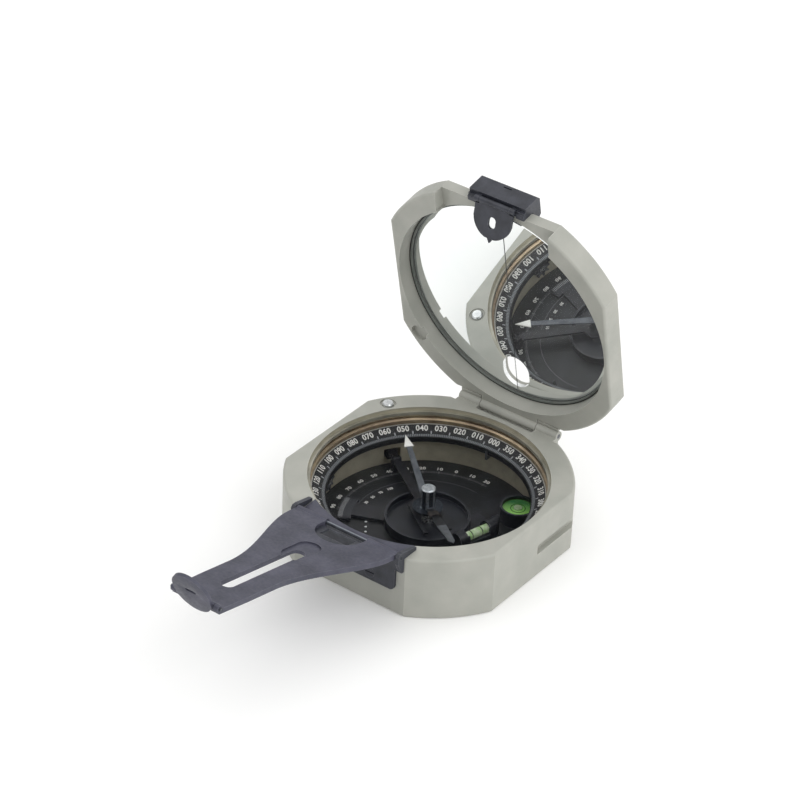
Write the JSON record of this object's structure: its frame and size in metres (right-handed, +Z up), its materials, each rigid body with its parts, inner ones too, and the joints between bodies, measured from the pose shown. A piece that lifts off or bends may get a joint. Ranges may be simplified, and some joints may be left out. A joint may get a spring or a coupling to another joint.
{
  "type": "magnetic compass",
  "caption": "Pocket transit compass: round-cornered case with needle, azimuth ring, levels and clinometer, mirror lid, folding slotted sight arm.",
  "frame": {"origin": "middle of the base's underside", "axes": "+Z up, -Y toward the sight arm, +Y toward the lid's hinge, +X to the right"},
  "size_m": [0.072, 0.152, 0.0976],
  "materials": {
    "case_paint": "satin paint",
    "black_paint": "satin black",
    "arm_anodised": "dark anodised",
    "steel": "bright",
    "brass": "plain",
    "clear_glass": "polished",
    "mirror_glass": "polished",
    "dial_black": "matt black",
    "gasket_black": "matt",
    "tan_metal": "dull",
    "white_paint": "matt white",
    "ruby": "polished",
    "level_green": "clear green liquid",
    "level_black": "gloss black",
    "bubble": "clear",
    "copper_wire": "bare wire"
  },
  "bodies": {
    "case": {"case_body": "case_paint", "dial_plate": "dial_black", "clino_bush": "brass", "seat_ring": "tan_metal", "glass": "clear_glass", "retaining_ring": "tan_metal", "index_pin": "white_paint", "bullseye_cup": "level_black", "bullseye_window": "clear_glass", "bullseye_fluid": "level_green", "bullseye_bubble": "bubble", "adjuster_bush": "brass", "arm_bracket": "black_paint", "bracket_screws": "black_paint", "arm_hinge_pin": "steel", "lid_hinge_pin": "steel", "fulcrum_post": "black_paint", "fulcrum_pin": "steel", "lift_spring": "brass"},
    "ring": {"azimuth_ring": "dial_black"},
    "ring_adjuster": {"adjuster_pinion": "brass", "adjuster_shaft": "steel"},
    "needle": {"needle_hub": "steel", "needle_jewel": "ruby", "needle_north": "black_paint", "needle_arrow": "white_paint", "needle_south": "black_paint", "needle_coil": "copper_wire"},
    "lift_button": {"lift_pin": "steel"},
    "lifter": {"lifter": "steel"},
    "clinometer": {"clino_shaft": "steel", "clino_lever": "steel", "clino_arm": "dial_black", "damping_cup": "dial_black", "pivot_post": "steel", "level_holder": "level_black", "level_vial": "clear_glass", "level_fluid": "level_green", "level_bubble": "bubble"},
    "lid": {"lid_shell": "case_paint", "mirror": "mirror_glass", "mirror_gasket": "gasket_black", "window_glass": "clear_glass", "sighting_line": "black_paint", "sight_bracket": "black_paint", "sight_pin": "steel"},
    "small_sight": {"small_sight": "black_paint"},
    "sight_arm": {"sight_arm": "arm_anodised", "tip_pin": "steel"},
    "tip_leaf": {"tip_leaf": "arm_anodised"}
  },
  "joints": [
    {"name": "lid_hinge", "type": "hinge", "parent": "case", "child": "lid", "pos_m": [0, 0.0386, 0.01935], "axis": [-1, 0, 0], "range_deg": [-77.7, 102.3]},
    {"name": "small_sight_hinge", "type": "hinge", "parent": "lid", "child": "small_sight", "pos_m": [0, 0.02499, 0.09468], "axis": [-1, 0, 0], "range_deg": [-22, 158]},
    {"name": "arm_hinge", "type": "hinge", "parent": "case", "child": "sight_arm", "pos_m": [0, -0.0373, 0.0204], "axis": [1, 0, 0], "range_deg": [-167.5, 12.5]},
    {"name": "tip_leaf_hinge", "type": "hinge", "parent": "sight_arm", "child": "tip_leaf", "pos_m": [0, -0.1004, 0.03516], "axis": [1, 0, 0], "range_deg": [-122.6, 9.3]},
    {"name": "ring_turn", "type": "hinge", "parent": "case", "child": "ring", "pos_m": [0, 0, 0.012], "axis": [0, 0, 1], "continuous": true},
    {"name": "adjuster_turn", "type": "hinge", "parent": "case", "child": "ring_adjuster", "pos_m": [-0.02941, -0.00788, 0.00826], "axis": [-0.9659, -0.2588, 0], "continuous": true},
    {"name": "needle_spin", "type": "hinge", "parent": "case", "child": "needle", "pos_m": [0, 0, 0.01345], "axis": [0, 0, 1], "continuous": true},
    {"name": "clinometer_turn", "type": "hinge", "parent": "case", "child": "clinometer", "pos_m": [0, 0, 0.002], "axis": [0, 0, 1], "range_deg": [-75, 105]},
    {"name": "lift_press", "type": "slide", "parent": "case", "child": "lift_button", "axis": [0, 0, -1], "range_m": [0, 0.0005], "stiffness_N_per_m": 300, "springref_m": -0.0005},
    {"name": "lifter_tilt", "type": "hinge", "parent": "case", "child": "lifter", "pos_m": [-0.02299, 0.01598, 0.0061], "axis": [-0.5707, -0.8211, 0], "range_deg": [0, 3.4], "deforming": ["lift_spring"]}
  ],
  "couplings": [
    {"joint": "adjuster_turn", "follows": "ring_turn", "ratio": -12},
    {"joint": "lifter_tilt", "follows": "lift_press", "rad_per_m": 111},
    {"joint": "tip_leaf_hinge", "follows": "arm_hinge", "ratio": 0.73134}
  ]
}
